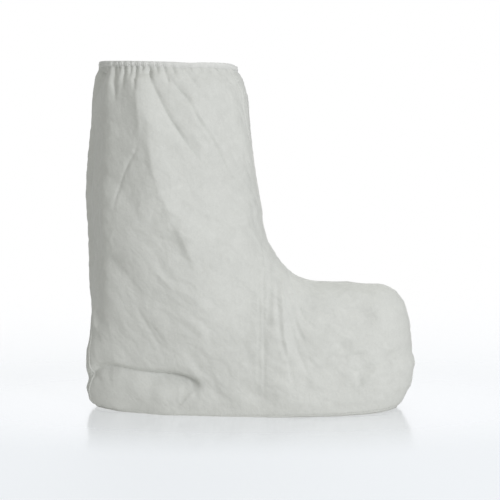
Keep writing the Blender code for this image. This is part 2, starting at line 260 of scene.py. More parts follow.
# %% Creases of the foot
FOOT_CREASES = (
    Crease("heel_fold", NEAR, -0.0066, 0.0036, 0.010, 0.0, 0.0005, 0.06, 0.30,
           ((-0.212, 0.040), (-0.201, 0.057), (-0.180, 0.061), (-0.156, 0.058), (-0.123, 0.053),
            (-0.091, 0.051), (-0.071, 0.044), (-0.058, 0.032))),
    Crease("heel_fold_end", NEAR, -0.0105, 0.0080, 0.015, 0.0, 0.001, 0.50, 0.28,
           ((-0.150, 0.057), (-0.110, 0.052), (-0.084, 0.048), (-0.069, 0.041), (-0.060, 0.030))),
    Crease("heel_bulge", NEAR, 0.0036, 0.012, 0.020, 0.0, 0.004, 0.20, 0.35,
           ((-0.207, 0.034), (-0.160, 0.034), (-0.110, 0.030), (-0.070, 0.024))),
    Crease("arch_fill", NEAR, 0.0095, 0.070, 0.040, 0.0, 0.010, 0.25, 0.60,
           ((-0.165, 0.010), (-0.110, 0.012), (-0.060, 0.014), (0.000, 0.014), (0.080, 0.010))),
    Crease("foot_flat", NEAR, -0.0045, 0.028, 0.030, 0.0, 0.006, 0.30, 0.30,
           ((0.040, 0.150), (0.080, 0.140), (0.130, 0.136), (0.175, 0.124))),
    Crease("heel_fill", BOTH, 0.0030, 0.022, 0.022, 0.0, 0.004, 0.25, 0.20,
           ((-0.220, 0.098), (-0.219, 0.060), (-0.219, 0.010))),
    Crease("foot_top_fall", BOTH, -0.0034, 0.045, 0.045, 0.0, 0.008, 0.30, 0.22,
           ((0.036, 0.178), (0.076, 0.172), (0.112, 0.170), (0.146, 0.166), (0.178, 0.154))),
    Crease("crook_fall", BOTH, -0.0020, 0.016, 0.016, 0.0, 0.004, 0.30, 0.30,
           ((0.004, 0.262), (0.016, 0.236), (0.032, 0.210))),
    Crease("toe_fill", BOTH, 0.0026, 0.016, 0.016, 0.0, 0.004, 0.30, 0.20,
           ((0.219, 0.078), (0.219, 0.050), (0.216, 0.020))),
    Crease("heel_tuck_a", NEAR, -0.0012, 0.003, 0.006, 0.0, 0.0006, 0.2, 0.4,
           ((-0.085, 0.050), (-0.085, 0.034), (-0.086, 0.016))),
    Crease("heel_tuck_b", NEAR, -0.0016, 0.004, 0.004, 0.0008, 0.0008, 0.15, 0.5,
           ((-0.077, 0.050), (-0.070, 0.032), (-0.066, 0.018))),
    Crease("heel_tuck_c", NEAR, -0.0012, 0.004, 0.006, 0.0, 0.001, 0.2, 0.5,
           ((-0.188, 0.060), (-0.185, 0.044), (-0.180, 0.026))),
    Crease("heel_notch", BOTH, -0.0016, 0.006, 0.003, 0.0, 0.001, 0.0, 0.4,
           ((-0.226, 0.033), (-0.214, 0.036), (-0.204, 0.052))),
    Crease("heel_waist", BOTH, -0.0026, 0.014, 0.014, 0.0, 0.003, 0.0, 0.5,
           ((-0.226, 0.128), (-0.205, 0.134), (-0.190, 0.140))),
    Crease("arch_smudge", NEAR, -0.0015, 0.008, 0.008, 0.0, 0.002, 0.4, 0.4,
           ((-0.078, 0.060), (-0.060, 0.068), (-0.044, 0.077))),
    Crease("back_turn", NEAR, 0.0030, 0.003, 0.003, 0.0, 0.0004, 0.3, 0.3,
           ((-0.210, 0.144), (-0.208, 0.132), (-0.202, 0.104))),
    Crease("ankle_hollow", NEAR, -0.0024, 0.018, 0.016, 0.0, 0.004, 0.4, 0.4,
           ((-0.026, 0.210), (-0.010, 0.176), (0.000, 0.141), (0.006, 0.110))),
    Crease("upright_fold", NEAR, -0.0009, 0.0022, 0.0022, 0.0003, 0.0004, 0.1, 0.2,
           ((0.017, 0.236), (0.018, 0.153), (0.018, 0.049), (0.018, 0.015))),
    Crease("instep_trough_a", NEAR, -0.0012, 0.003, 0.003, 0.0, 0.0006, 0.15, 0.4,
           ((0.030, 0.205), (0.025, 0.150), (0.021, 0.090))),
    Crease("instep_ridge_a", NEAR, 0.0014, 0.004, 0.003, 0.0, 0.0005, 0.1, 0.4,
           ((0.034, 0.210), (0.041, 0.175), (0.045, 0.107), (0.056, 0.023))),
    Crease("instep_trough_b", NEAR, -0.0017, 0.003, 0.004, 0.0005, 0.0004, 0.1, 0.30,
           ((0.034, 0.205), (0.043, 0.172), (0.050, 0.135), (0.057, 0.100), (0.070, 0.066), (0.080, 0.047))),
    Crease("instep_trough_c", NEAR, -0.0015, 0.003, 0.004, 0.0006, 0.0005, 0.15, 0.4,
           ((0.044, 0.196), (0.056, 0.169), (0.064, 0.144), (0.074, 0.120))),
    Crease("instep_line_a", NEAR, -0.0015, 0.0026, 0.0030, 0.0004, 0.0004, 0.1, 0.3,
           ((0.030, 0.208), (0.034, 0.172), (0.039, 0.107), (0.049, 0.075), (0.058, 0.020))),
    Crease("instep_line_b", NEAR, -0.0013, 0.0024, 0.0028, 0.0004, 0.0004, 0.2, 0.4,
           ((0.047, 0.168), (0.061, 0.118), (0.076, 0.084))),
    Crease("upright_line", NEAR, -0.0009, 0.0020, 0.0020, 0.0, 0.0004, 0.2, 0.2,
           ((0.011, 0.228), (0.012, 0.150), (0.011, 0.030))),
    Crease("toe_stroke_a", NEAR, -0.0018, 0.004, 0.004, 0.0006, 0.0005, 0.35, 0.35,
           ((0.086, 0.069), (0.098, 0.079), (0.111, 0.088), (0.134, 0.101))),
    Crease("toe_stroke_b", NEAR, -0.0015, 0.004, 0.005, 0.0, 0.0005, 0.4, 0.4,
           ((0.100, 0.074), (0.126, 0.078), (0.158, 0.084))),
    Crease("toe_facet", NEAR, -0.0034, 0.016, 0.008, 0.0, 0.001, 0.3, 0.3,
           ((0.136, 0.086), (0.146, 0.066), (0.154, 0.050))),
    Crease("toe_dent_a", NEAR, -0.0014, 0.003, 0.004, 0.0, 0.0006, 0.3, 0.4,
           ((0.140, 0.066), (0.141, 0.052), (0.144, 0.036))),
    Crease("toe_dent_b", NEAR, -0.0007, 0.003, 0.004, 0.0, 0.0008, 0.4, 0.4,
           ((0.104, 0.050), (0.104, 0.036), (0.105, 0.024))),
    Crease("toe_dent_c", NEAR, -0.0014, 0.010, 0.010, 0.0, 0.003, 0.4, 0.4,
           ((0.148, 0.142), (0.153, 0.122), (0.157, 0.100))),
    Crease("toe_ridge", NEAR, 0.0032, 0.006, 0.014, 0.0, 0.0005, 0.3, 0.3,
           ((0.136, 0.028), (0.146, 0.041), (0.160, 0.055), (0.184, 0.072))),
    Crease("toe_tuck", NEAR, -0.0030, 0.005, 0.005, 0.0, 0.0006, 0.3, 0.3,
           ((0.184, 0.086), (0.187, 0.070), (0.191, 0.054))),
    Crease("toe_notch", BOTH, 0.0008, 0.004, 0.005, 0.0, 0.0008, 0.35, 0.0,
           ((0.188, 0.055), (0.200, 0.059), (0.214, 0.061), (0.226, 0.062))),
)
print(len(FOOT_CREASES), "creases on the near side of the foot")

# %% Creases of the far side
# That side isn't seen, so these are of the same kind but made up.
FAR_CREASES = (
    Crease("far_ridge", FAR, 0.0055, 0.045, 0.045, 0.0, 0.006, 0.1, 0.35,
           ((-0.100, 0.446), (-0.108, 0.380), (-0.096, 0.310), (-0.084, 0.240), (-0.082, 0.190))),
    Crease("far_fold_a", FAR, -0.0026, 0.008, 0.018, 0.0, 0.001, 0.05, 0.4,
           ((-0.150, 0.448), (-0.132, 0.410), (-0.104, 0.368), (-0.076, 0.332))),
    Crease("far_fold_b", FAR, -0.0020, 0.008, 0.005, 0.0014, 0.001, 0.05, 0.45,
           ((-0.084, 0.448), (-0.064, 0.412), (-0.044, 0.372), (-0.022, 0.330), (0.002, 0.290))),
    Crease("far_fold_c", FAR, -0.0022, 0.012, 0.012, 0.0010, 0.002, 0.35, 0.35,
           ((-0.194, 0.300), (-0.168, 0.276), (-0.138, 0.240), (-0.116, 0.200))),
    Crease("far_fold_d", FAR, -0.0024, 0.012, 0.014, 0.0010, 0.002, 0.35, 0.35,
           ((-0.190, 0.196), (-0.160, 0.164), (-0.130, 0.120), (-0.104, 0.084))),
    Crease("far_heel_fold", FAR, -0.0042, 0.012, 0.004, 0.0034, 0.001, 0.3, 0.25,
           ((-0.210, 0.046), (-0.196, 0.056), (-0.164, 0.060), (-0.120, 0.052), (-0.086, 0.040))),
    Crease("far_ankle", FAR, -0.0024, 0.018, 0.016, 0.0, 0.004, 0.4, 0.4,
           ((-0.020, 0.224), (-0.008, 0.184), (0.004, 0.140))),
    Crease("far_instep_a", FAR, 0.0020, 0.008, 0.007, 0.0, 0.001, 0.2, 0.4,
           ((0.036, 0.196), (0.046, 0.146), (0.050, 0.090), (0.048, 0.036))),
    Crease("far_instep_b", FAR, -0.0018, 0.006, 0.008, 0.0006, 0.001, 0.2, 0.45,
           ((0.050, 0.186), (0.066, 0.136), (0.076, 0.092), (0.092, 0.050))),
    Crease("far_toe_a", FAR, -0.0014, 0.006, 0.006, 0.0005, 0.001, 0.4, 0.4,
           ((0.104, 0.112), (0.128, 0.096), (0.152, 0.088))),
    Crease("far_toe_b", FAR, 0.0022, 0.008, 0.012, 0.0, 0.001, 0.3, 0.3,
           ((0.120, 0.034), (0.142, 0.050), (0.170, 0.062))),
)
print(len(FAR_CREASES), "creases on the far side")


# %% The height of a crease
def smooth_route(route, steps=8):
    """A curve through the route's points, as many short chords."""
    route = np.asarray(route, float)
    along = np.concatenate([[0.0], np.cumsum(np.linalg.norm(np.diff(route, axis=0), axis=1))])
    fine = np.linspace(0.0, along[-1], steps * (len(route) - 1) + 1)
    return np.stack([through(along, route[:, k], fine) for k in (0, 1)], axis=1)


def along_route(points, route):
    """For each point: its share of the route's length, and its distance to the right of it."""
    best = np.full(len(points), np.inf)
    share, aside = np.zeros(len(points)), np.zeros(len(points))
    lengths = np.linalg.norm(np.diff(route, axis=0), axis=1)
    starts = np.concatenate([[0.0], np.cumsum(lengths)])
    for k, length in enumerate(lengths):
        way = (route[k + 1] - route[k]) / length
        offset = points - route[k]
        t = np.clip(offset @ way, 0.0, length)
        gap = np.linalg.norm(offset - t[:, None] * way, axis=1)
        right = offset @ np.array([way[1], -way[0]])
        nearer = gap < best
        best = np.where(nearer, gap, best)
        share = np.where(nearer, (starts[k] + t) / starts[-1], share)
        aside = np.where(nearer, np.where(right < 0, -gap, gap), aside)
    return share, aside


def ease(t):
    t = np.clip(t, 0.0, 1.0)
    return t * t * (3 - 2 * t)


# A crease is worked out to so many times its fall, its lip stands so many times its right fall away, and the
# power says how square its shoulders are.
REACH_IN_FALLS, LIP_IN_FALLS, FALL_POWER = 4.0, 2.5, 1.4


def crease_height(crease, side_view):
    """How far this crease moves the sheet out, at points (x, z) of the side view."""
    route = smooth_route(crease.route)
    reach = REACH_IN_FALLS * max(crease.left, crease.right)
    low, high = route.min(axis=0) - reach, route.max(axis=0) + reach
    close = np.all((side_view > low) & (side_view < high), axis=1)
    height = np.zeros(len(side_view))
    if not close.any():
        return height
    share, aside = along_route(side_view[close], route)
    fall = np.where(aside < 0, crease.left, crease.right)
    away = np.sqrt(aside**2 + crease.soft**2) - crease.soft
    made = crease.depth * np.exp(-((away / fall) ** FALL_POWER))
    past = np.clip(aside / (LIP_IN_FALLS * crease.right), 0.0, None)
    made += crease.lip * past * np.exp(1 - past)
    fade = np.ones_like(share)
    if crease.fade_in:
        fade *= ease(share / crease.fade_in)
    if crease.fade_out:
        fade *= ease((1 - share) / crease.fade_out)
    height[close] = made * fade
    return height


print("heel fold at its middle:", crease_height(FOOT_CREASES[0], np.array([[-0.13, 0.059]])))

# %% [markdown]
# The gathers
# The elastic is shorter than the edge that it is sewn to, so the sheet hangs from the hem in small pleats.
# They are short and upright at the back, where the bag is slack, and long and slanting towards the front,
# where the foot pulls it. Each pleat is one more crease that starts at full depth under the hem.

# %% The pleat table
Pleat = namedtuple("Pleat", "place length lean width depth")
NEAR_PLEATS = (
    Pleat(-0.189, 0.044, -0.05, 0.0036, 0.0026),
    Pleat(-0.182, 0.022, 0.02, 0.0020, 0.0018),
    Pleat(-0.174, 0.046, 0.08, 0.0032, 0.0034),
    Pleat(-0.167, 0.018, 0.00, 0.0018, 0.0018),
    Pleat(-0.160, 0.032, 0.02, 0.0024, 0.0024),
    Pleat(-0.152, 0.020, 0.06, 0.0018, 0.0019),
    Pleat(-0.145, 0.036, 0.05, 0.0024, 0.0024),
    Pleat(-0.137, 0.016, 0.10, 0.0018, 0.0016),
    Pleat(-0.129, 0.026, 0.20, 0.0020, 0.0018),
    Pleat(-0.120, 0.018, 0.30, 0.0018, 0.0013),
    Pleat(-0.112, 0.030, 0.45, 0.0020, 0.0014),
    Pleat(-0.102, 0.020, 0.55, 0.0018, 0.0011),
    Pleat(-0.093, 0.026, 0.65, 0.0018, 0.0010),
    Pleat(-0.082, 0.018, 0.75, 0.0018, 0.0009),
    Pleat(-0.071, 0.024, 0.85, 0.0018, 0.0009),
    Pleat(-0.060, 0.018, 0.90, 0.0016, 0.0008),
    Pleat(-0.048, 0.022, 0.95, 0.0016, 0.0008),
    Pleat(-0.036, 0.016, 0.90, 0.0016, 0.0007),
)
SHARP = 0.0004
PLEAT_START, PLEAT_DROP, PLEAT_DEPTH, PLEAT_FADE = 0.004, 1.3, 1.45, 0.6
RIM_STEPS = 181
rim_places = wall(np.ones(RIM_STEPS), np.linspace(0, math.pi, RIM_STEPS))


def rim_height(x):
    return np.interp(x, rim_places[:, 0], rim_places[:, 2])


def pleat_creases(pleats, side):
    """Each pleat starts a little above the rim and drops below it, dying out on the way."""
    made = []
    for row in pleats:
        top = rim_height(row.place) + PLEAT_START
        foot = (row.place + row.lean * row.length, top - PLEAT_DROP * row.length)
        route, deep, wide = ((row.place, top), foot), -PLEAT_DEPTH * row.depth, row.width
        made.append(Crease("pleat", side, deep, wide, wide, 0.0, SHARP, 0.0, PLEAT_FADE, route))
    return made


# The far side isn't seen, so its pleats are the near ones, varied a little at random.
shuffle = np.random.default_rng(7)
FAR_PLEATS = tuple(
    row._replace(
        place=row.place + shuffle.uniform(-0.003, 0.003),
        length=row.length * shuffle.uniform(0.7, 1.3),
        depth=row.depth * shuffle.uniform(0.7, 1.2),
    )
    for row in NEAR_PLEATS
)
print(len(NEAR_PLEATS), "pleats on each side")

# %% Fine lines left by the packet
# Ranges to draw from: the place, the mean slope and its spread in degrees, the bow, and the sizes in metres.
FINE_COUNT, FINE_FADE = 90, 0.45
FINE_X, FINE_Z, FOOT_TOP = (-0.205, 0.205), (0.015, 0.440), 0.165
FINE_SLOPE, FINE_BOW = (-58.0, 26.0), (-0.15, 0.15)
FINE_HALF, FINE_DEPTH, FINE_WIDTH = (0.006, 0.020), (0.0002, 0.0005), (0.0018, 0.0050)
TROUGHS, RIDGES = 0.7, 0.3


def fine_creases(side, seed):
    """Short sharp lines left by the packet, most of them running down to the front like the long folds."""
    rng = np.random.default_rng(seed)
    made = []
    while len(made) < FINE_COUNT:
        x, z = rng.uniform(*FINE_X), rng.uniform(*FINE_Z)
        if z > FOOT_TOP and x > 0.0:
            continue
        slope = math.radians(rng.normal(*FINE_SLOPE))
        half = rng.uniform(*FINE_HALF)
        along, down = half * math.cos(slope), half * math.sin(slope)
        bow = rng.uniform(*FINE_BOW)
        route = ((x - along, z - down), (x - bow * down, z + bow * along), (x + along, z + down))
        depth = rng.choice((-1.0, 1.0), p=(TROUGHS, RIDGES)) * rng.uniform(*FINE_DEPTH)
        left, right = rng.uniform(*FINE_WIDTH, 2)
        made.append(Crease("fine", side, depth, left, right, 0.0, SHARP, FINE_FADE, FINE_FADE, route))
    return made


CREASES = [*SHAFT_CREASES, *FOOT_CREASES, *FAR_CREASES]
CREASES += fine_creases(NEAR, 21) + fine_creases(FAR, 22)
CREASES += pleat_creases(NEAR_PLEATS, NEAR) + pleat_creases(FAR_PLEATS, FAR)
print(len(CREASES), "creases with the gathers")

# %% [markdown]
# The slackness between the creases
# No stretch of the sheet is truly smooth. A soft noise, fixed by its seed, lets the shaft sway by a
# millimetre or two. Paper that was crumpled and smoothed keeps flat facets with sharp edges between them, so
# the small dents are long triangles laid on the spread-out sheet, in three sizes. They lean the way that the
# folds do, which is another way at the toe. Beside the seams the sheet puckers, in short ripples across the
# stitching.

# %% Noise in space
LATTICE_SIZE = 32
LATTICE = np.random.default_rng(11).uniform(-1.0, 1.0, (LATTICE_SIZE,) * 3)
LATTICE_TILT = np.linalg.qr(np.random.default_rng(3).normal(size=(3, 3)))[0]


def noise(points, size):
    """Smooth noise from -1 to 1 with bumps of this size, a number or one for each axis."""
    place = points / np.asarray(size) @ LATTICE_TILT
    cell = np.floor(place).astype(int)
    t = place - cell
    t = t * t * t * (t * (6 * t - 15) + 10)
    total = np.zeros(len(points))
    for corner in np.ndindex(2, 2, 2):
        weight = np.prod(np.where(corner, t, 1 - t), axis=1)
        i, j, k = ((cell + corner) % LATTICE_SIZE).T
        total += weight * LATTICE[i, j, k]
    return total


TOE_TIP = wall([0.1], [math.pi])
print("noise at the toe tip:", np.round(noise(TOE_TIP, 0.05), 3))

# %% Facets of crumpled paper
SHAFT_MIDDLE, ANKLE_FROM, ANKLE_BLEND = -0.09, 0.15, 0.08
EDGE_TURN, EDGE_BLEND = 0.7, 0.05


def spread(points):
    """About where a point of the wall lies on the sheet when that is spread flat, in metres."""
    x, y, z = points.T
    round_the_edge = EDGE_TURN * (BALL_WIDTH / 2 - np.abs(y))
    middle = SHAFT_MIDDLE * ease((z - ANKLE_FROM) / ANKLE_BLEND)
    return np.stack([x + round_the_edge * np.tanh((x - middle) / EDGE_BLEND), z + round_the_edge], axis=1)


FACET_STRETCH, FACET_DRIFT, TRIANGLE_SKEW = 2.8, 0.6, 0.366


def facets(points, size, layer, lean):
    """Long triangles with a random height, from -1 to 1, at each corner: size across, lean is their slope."""
    drift = [noise(points + layer, 2 * size), noise(points - layer, 2 * size)]
    bent = (spread(points) + FACET_DRIFT * size * np.stack(drift, axis=1)) / size
    along, down = math.cos(lean), math.sin(lean)
    turned = np.stack([bent @ (along, down) / FACET_STRETCH, bent @ (-down, along)], axis=1)
    skewed = turned + TRIANGLE_SKEW * turned.sum(axis=1, keepdims=True)
    cell = np.floor(skewed).astype(int)
    first, second = (skewed - cell).T
    corners = LATTICE[:, :, layer]
    i, j = cell.T % LATTICE_SIZE
    i_next, j_next = (i + 1) % LATTICE_SIZE, (j + 1) % LATTICE_SIZE
    most, least = np.maximum(first, second), np.minimum(first, second)
    between = np.where(first > second, corners[i_next, j], corners[i, j_next])
    return corners[i, j] * (1 - most) + between * (most - least) + corners[i_next, j_next] * least


print("facet height there:", np.round(facets(TOE_TIP, 0.03, 0, 0.0), 3))

# %% Sway, crumple and pucker
FacetLayer = namedtuple("FacetLayer", "size deep lean toe_lean")
FACET_LAYERS = (
    FacetLayer(0.036, 0.0018, -1.05, 0.5),
    FacetLayer(0.017, 0.0011, -0.75, 0.2),
    FacetLayer(0.009, 0.0004, -0.45, -0.1),
)
# At the toe the facets lean another way, and take other layers of the lattice.
TOE_FROM, TOE_BLEND, TOE_LAYERS = 0.06, 0.07, 4
# The crumple is calm along the bag's back and twice as strong further forward.
CALM, CALM_BACK, CALM_BLEND = 0.6, -0.165, 0.080
Ripple = namedtuple("Ripple", "height size shift")
SWAYS = (
    Ripple(0.0012, (0.055, 0.055, 0.110), 0.0),
    Ripple(0.0006, (0.030, 0.030, 0.050), 0.3),
)
SEAM_PUCKER, SEAM_PUCKER_REACH = Ripple(0.0006, (0.0055, 0.060, 0.0055), 0.0), 0.009
SOLE_PUCKER, SOLE_PUCKER_REACH = Ripple(0.0004, (0.0060, 0.0060, 0.060), 0.5), 0.008
# Slackness grows from nothing over these distances above the sole, below the rim and beside the middle line.
HELD_FOOT, FOOT_HOLD, TOP_HOLD, MIDDLE_HOLD = 0.002, 0.020, 0.030, 0.030


def rippled(points, ripple):
    return ripple.height * noise(points + ripple.shift, ripple.size)


def slackness(points):
    """The sway and crumple of the loose sheet, held still along the middle line, the hem and the sole."""
    ahead, aside, height = points[:, 0], np.abs(points[:, 1]), points[:, 2]
    sway = sum(rippled(points, ripple) for ripple in SWAYS)
    at_toe = ease((ahead - TOE_FROM) / TOE_BLEND)
    crumple = np.zeros(len(points))
    for layer, row in enumerate(FACET_LAYERS):
        crumple += row.deep * (1 - at_toe) * facets(points, row.size, layer, row.lean)
        crumple += row.deep * at_toe * facets(points, row.size, layer + TOE_LAYERS, row.toe_lean)
    crumple *= CALM + CALM * ease((ahead - CALM_BACK) / CALM_BLEND)
    held = ease((height - HELD_FOOT) / FOOT_HOLD) * ease((WALL_TOP - height) / TOP_HOLD)
    held *= ease(aside / MIDDLE_HOLD)
    pucker = rippled(points, SEAM_PUCKER) * np.exp(-aside / SEAM_PUCKER_REACH)
    pucker += rippled(points, SOLE_PUCKER) * np.exp(-height / SOLE_PUCKER_REACH)
    return (sway + crumple) * held + pucker


print("sway at the side of the shaft:", slackness(wall(np.array([0.8]), np.array([1.6]))))

# %% [markdown]
# The creased sheet
# Every visible layer is laid on one surface: the plain wall, moved out or in by creases and slackness. Two
# small corrections come from how the bag stands: its rim waves, and its heel edge lifts off the floor. Where
# a crease would push the sheet through the floor, the sheet lies on it instead.

# %% The surface that everything is laid on
RimWave = namedtuple("RimWave", "x up")
RIM_WAVE = (
    RimWave(-0.200, -0.0016),
    RimWave(-0.190, 0.0010),
    RimWave(-0.150, 0.0014),
    RimWave(-0.105, 0.0014),
    RimWave(-0.080, 0.0008),
    RimWave(-0.058, 0.0024),
    RimWave(-0.040, 0.0028),
    RimWave(-0.026, 0.0022),
    RimWave(-0.016, -0.0012),
)
RIM_BAND, RIM_BLEND = 0.022, 0.016
HEEL_LIFT, HEEL_FROM, HEEL_BLEND, HEEL_BAND = 0.0022, -0.160, 0.035, 0.022
# The hem holds the pleats flatter, by this share, and a crease of one side dies out near the middle line.
HEM_HOLD, HEM_BAND, HEM_BLEND = 0.7, 0.0065, 0.003
SEAM_CLEAR = 0.014


def relief(points):
    """How far the sheet stands out of the plain wall at each point of it."""
    side_view = points[:, [0, 2]]
    side = np.where(points[:, 1] > 0, FAR, NEAR)
    off_middle = ease(np.abs(points[:, 1]) / SEAM_CLEAR)
    over_rim = side_view[:, 1] - rim_height(side_view[:, 0])
    under_hem = 1 - HEM_HOLD * ease((over_rim + HEM_BAND) / HEM_BLEND)
    height = slackness(points)
    for crease in CREASES:
        made = crease_height(crease, side_view)
        if crease.side != BOTH:
            made = np.where(side == crease.side, made * off_middle, 0.0)
        height += made * under_hem if crease.name == "pleat" else made
    return height


def lifted(points):
    """How far each point rises with the waving rim and the heel's edge."""
    x, z = points[..., 0], points[..., 2]
    places, ups = zip(*RIM_WAVE)
    wave = through(places, ups, np.clip(x, places[0], places[-1]))
    near_rim = ease((z - WALL_TOP + RIM_BAND) / RIM_BLEND)
    near_heel = ease((HEEL_FROM - x) / HEEL_BLEND) * ease((HEEL_BAND - z) / HEEL_BAND)
    return wave * near_rim + HEEL_LIFT * near_heel


def sheet(rise, turn, lift=0.0):
    """A point on the creased sheet, or this far above it."""
    rise, turn = np.broadcast_arrays(np.asarray(rise, float), np.asarray(turn, float))
    plain = wall(rise, turn)
    height = relief(plain.reshape(-1, 3)).reshape(rise.shape) + lift
    made = plain + outward(rise, turn) * height[..., None]
    made[..., 2] = np.maximum(made[..., 2] + lifted(plain), 0.0)
    return made


print("toe tip on the creased sheet:", np.round(sheet(0.1, math.pi), 4))

# %% [markdown]
# The seam lines
# The front and back seams part the bag into its two panels. They wander off the middle of the slack bag, so a
# short table gives their place, and the panels are cut along it.

# %% Where the seams run
SeamDrift = namedtuple("SeamDrift", "rise sideways")
FRONT_SEAM_DRIFT = (
    SeamDrift(0.00, 0.000),
    SeamDrift(0.45, 0.000),
    SeamDrift(0.72, -0.010),
    SeamDrift(0.90, -0.026),
    SeamDrift(1.00, -0.028),
)
BACK_SEAM_DRIFT = (
    SeamDrift(0.00, -0.006),
    SeamDrift(0.14, -0.016),
    SeamDrift(0.28, -0.014),
    SeamDrift(0.45, 0.000),
    SeamDrift(1.00, 0.000),
)
HALVINGS = 40


def turn_at_side(rise, sideways, middle_turn):
    """The turn near a middle line (0 or pi) where the wall stands this far to one side, by halving."""
    inner, outer = np.zeros_like(rise), np.full_like(rise, math.pi / 2)
    towards = -np.sign(sideways) * math.cos(middle_turn)
    for _ in range(HALVINGS):
        middle = (inner + outer) / 2
        reached = np.abs(wall(rise, middle_turn + towards * middle)[..., 1]) > np.abs(sideways)
        inner, outer = np.where(reached, inner, middle), np.where(reached, middle, outer)
    return middle_turn + towards * (inner + outer) / 2


def seam_turns(drift, middle_turn, rise, across=0.0):
    """The turns of a seam's line, or of a line beside it, across as a share of the seam's width."""
    middle = through([row.rise for row in drift], [row.sideways for row in drift], rise)
    return turn_at_side(rise, middle + across * SEAM_WIDTH, middle_turn)


print("front seam meets the hem at turn", np.round(seam_turns(FRONT_SEAM_DRIFT, math.pi, np.array([1.0])), 3))

# %% [markdown]
# The side panels
# Each panel is a fine grid: rows up the wall, columns from the back seam to the front seam, spread evenly
# along every row so that the creases get the same number of faces everywhere. Inside it lies a coarser grid,
# one sheet's thickness in, which stays behind the deepest point near it so that no crease shows it.

# %% Panels
INNER_STEP = 4
PANEL_ROWS, PANEL_COLUMNS = 100 * INNER_STEP + 1, 57 * INNER_STEP + 1
MEASURING_STEPS = 500
SHARP_EDGE = math.radians(60)


def panel_turns(rise, side):
    """Turns that divide each row between the two seams into equal lengths."""
    back = seam_turns(BACK_SEAM_DRIFT, 0.0, rise)
    front = seam_turns(FRONT_SEAM_DRIFT, math.pi, rise)
    start, end = (back, front) if side == NEAR else (front, back + 2 * math.pi)
    dense = start[:, None] + (end - start)[:, None] * np.linspace(0.0, 1.0, MEASURING_STEPS)
    lengths = np.linalg.norm(np.diff(wall(rise[:, None], dense), axis=1), axis=2)
    along = np.concatenate([np.zeros((len(rise), 1)), np.cumsum(lengths, axis=1)], axis=1)
    evenly = np.linspace(0.0, 1.0, PANEL_COLUMNS)
    return np.array([np.interp(evenly * row[-1], row, turns) for row, turns in zip(along, dense)])


def grid_faces(rows, columns, closed=False, flip=False, first=0):
    low = first + np.arange(rows - 1)[:, None] * columns
    j = np.arange(columns if closed else columns - 1)
    k = (j + 1) % columns
    quads = np.stack([low + j, low + k, low + columns + k, low + columns + j], axis=-1).reshape(-1, 4)
    return (quads[:, ::-1] if flip else quads).tolist()


def mesh_object(name, points, faces):
    mesh = bpy.data.meshes.new(name)
    mesh.from_pydata(np.reshape(points, (-1, 3)).tolist(), [], faces)
    mesh.shade_smooth()
    mesh.set_sharp_from_angle(angle=SHARP_EDGE)
    piece = bpy.data.objects.new(name, mesh)
    bpy.context.scene.collection.objects.link(piece)
    return piece


def lowest_near(height, reach):
    """The lowest value within this many steps of each place of a grid."""
    padded = np.pad(height, reach, mode="edge")
    width = 2 * reach + 1
    return np.lib.stride_tricks.sliding_window_view(padded, (width, width)).min(axis=(2, 3))


def edge_loop(numbers):
    """The numbers along the edge of a grid, once round."""
    return [*numbers[0, :-1], *numbers[:-1, -1], *numbers[-1, :0:-1], *numbers[:0:-1, 0]]


def make_panel(name, side):
    rise = np.linspace(0.0, 1.0, PANEL_ROWS)[:, None]
    turn = panel_turns(rise[:, 0], side)
    plain, out = wall(rise, turn), outward(rise, turn)
    height = relief(plain.reshape(-1, 3)).reshape(turn.shape)
    plain[..., 2] += lifted(plain)
    outer = plain + out * height[..., None]
    deep = (lowest_near(height, INNER_STEP) - SHEET)[..., None]
    inner = (plain + out * deep)[::INNER_STEP, ::INNER_STEP]
    for layer, floor_gap in ((outer, 0.0), (inner, SHEET)):
        layer[..., 2] = np.maximum(layer[..., 2], floor_gap)
    faces = grid_faces(PANEL_ROWS, PANEL_COLUMNS)
    faces += grid_faces(*inner.shape[:2], flip=True, first=turn.size)
    outer_edge = edge_loop(np.arange(turn.size).reshape(turn.shape))
    inner_edge = edge_loop(turn.size + np.arange(inner[..., 0].size).reshape(inner.shape[:2]))
    for k, number in enumerate(inner_edge):
        chain = [outer_edge[(k * INNER_STEP + step) % len(outer_edge)] for step in range(INNER_STEP, -1, -1)]
        faces.append([*chain, number, inner_edge[(k + 1) % len(inner_edge)]])
    return mesh_object(name, np.concatenate([outer.reshape(-1, 3), inner.reshape(-1, 3)]), faces)


panels = [make_panel("right_panel", NEAR), make_panel("left_panel", FAR)]
print([f"{panel.name}: {len(panel.data.polygons)} faces" for panel in panels])

# %% [markdown]
# The sole
# The sole is one more cut of the sheet. It lies flat on the floor and turns up a little at the toe. It is a
# grid too, and a Solidify modifier gives it its thickness.

# %% Sole
SOLE_STATIONS, SOLE_ACROSS = 160, 40
SOLE_SHEET, SOLE_END = 0.001, 0.02
SOLE_RIPPLE = Ripple(0.0024, (0.03, 0.025, 1.0), 0.0)


def thicken(piece, thickness, side):
    solid = piece.modifiers.new("thickness", "SOLIDIFY")
    solid.thickness = thickness
    solid.offset = side


def make_sole():
    turn = np.linspace(SOLE_END, math.pi - SOLE_END, SOLE_STATIONS)
    near_edge, far_edge = sheet(0.0, turn)[:, None], sheet(0.0, 2 * math.pi - turn)[:, None]
    share = np.linspace(0.0, 1.0, SOLE_ACROSS)[:, None]
    points = far_edge + (near_edge - far_edge) * share
    points[..., 2] = np.clip(points[..., 2] - SOLE_EDGE, 0.0, None)
    wave = np.clip(rippled(points.reshape(-1, 3), SOLE_RIPPLE), 0, None).reshape(points.shape[:2])
    points[..., 2] += wave * share[:, 0] * (1 - share[:, 0])
    sole = mesh_object("sole_sheet", points, grid_faces(SOLE_STATIONS, SOLE_ACROSS, flip=True))
    thicken(sole, SOLE_SHEET, -1)
    return sole


sole = make_sole()
print("sole:", len(sole.data.polygons), "faces")

